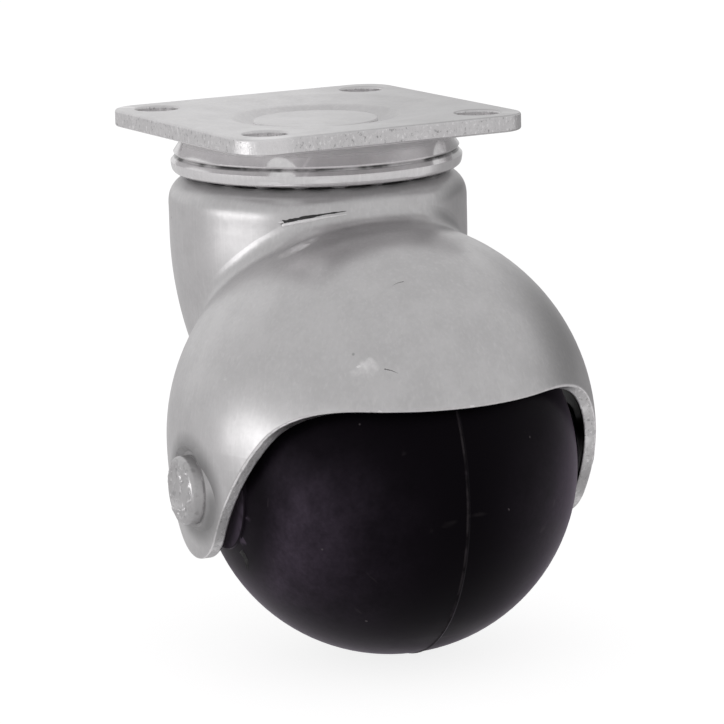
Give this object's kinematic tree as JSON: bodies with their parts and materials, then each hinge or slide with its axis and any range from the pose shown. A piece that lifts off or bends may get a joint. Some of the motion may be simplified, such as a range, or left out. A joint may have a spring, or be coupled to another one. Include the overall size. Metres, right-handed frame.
{
  "type": "ball castor",
  "caption": "Swivel ball castor: square screw-on plate, ball-bearing swivel and a pressed steel hood that carries a black moulded ball on a riveted axle.",
  "frame": {"origin": "centre of the four screw holes on the plate's mounting face, on the swivel axis", "axes": "+Z out of the mounting face, X and Y along the plate's sides, the ball towards -Y at rest"},
  "size_m": [0.0587, 0.0684, 0.0701],
  "materials": {
    "zinc_plate": "satin zinc plating",
    "zinc_hood": "drawn sheet, satin zinc plating",
    "zinc_rivet": "peened, zinc plating",
    "bearing_steel": "polished",
    "black_rubber": "satin, as moulded"
  },
  "bodies": {
    "base": {"top_plate": "zinc_plate", "race_cup": "zinc_plate", "kingpin": "zinc_rivet", "lower_race": "bearing_steel"},
    "swivel": {"hood": "zinc_hood", "axle": "zinc_rivet"},
    "wheel": {"ball_wheel": "black_rubber"},
    "upper_ball_ring": {"upper_bearing_ball_01": "bearing_steel", "upper_bearing_ball_02": "bearing_steel", "upper_bearing_ball_03": "bearing_steel", "upper_bearing_ball_04": "bearing_steel", "upper_bearing_ball_05": "bearing_steel", "upper_bearing_ball_06": "bearing_steel", "upper_bearing_ball_07": "bearing_steel", "upper_bearing_ball_08": "bearing_steel", "upper_bearing_ball_09": "bearing_steel", "upper_bearing_ball_10": "bearing_steel", "upper_bearing_ball_11": "bearing_steel", "upper_bearing_ball_12": "bearing_steel", "upper_bearing_ball_13": "bearing_steel", "upper_bearing_ball_14": "bearing_steel", "upper_bearing_ball_15": "bearing_steel", "upper_bearing_ball_16": "bearing_steel", "upper_bearing_ball_17": "bearing_steel", "upper_bearing_ball_18": "bearing_steel", "upper_bearing_ball_19": "bearing_steel", "upper_bearing_ball_20": "bearing_steel"},
    "lower_ball_ring": {"lower_bearing_ball_01": "bearing_steel", "lower_bearing_ball_02": "bearing_steel", "lower_bearing_ball_03": "bearing_steel", "lower_bearing_ball_04": "bearing_steel", "lower_bearing_ball_05": "bearing_steel", "lower_bearing_ball_06": "bearing_steel", "lower_bearing_ball_07": "bearing_steel", "lower_bearing_ball_08": "bearing_steel", "lower_bearing_ball_09": "bearing_steel", "lower_bearing_ball_10": "bearing_steel", "lower_bearing_ball_11": "bearing_steel", "lower_bearing_ball_12": "bearing_steel", "lower_bearing_ball_13": "bearing_steel", "lower_bearing_ball_14": "bearing_steel"}
  },
  "joints": [
    {"name": "swivel_turn", "type": "hinge", "parent": "base", "child": "swivel", "pos_m": [0, 0, -0.04496], "axis": [0, 0, 1], "continuous": true},
    {"name": "ball_roll", "type": "hinge", "parent": "swivel", "child": "wheel", "pos_m": [-0.00215, -0.0219, -0.04496], "axis": [0.9952, -0.0976, 0], "continuous": true},
    {"name": "upper_ring_turn", "type": "hinge", "parent": "base", "child": "upper_ball_ring", "pos_m": [0, 0, -0.00613], "axis": [0, 0, 1], "continuous": true},
    {"name": "lower_ring_turn", "type": "hinge", "parent": "base", "child": "lower_ball_ring", "pos_m": [0, 0, -0.01175], "axis": [0, 0, 1], "continuous": true}
  ],
  "couplings": [
    {"joint": "upper_ring_turn", "follows": "swivel_turn", "ratio": 0.5},
    {"joint": "lower_ring_turn", "follows": "swivel_turn", "ratio": 0.5}
  ]
}
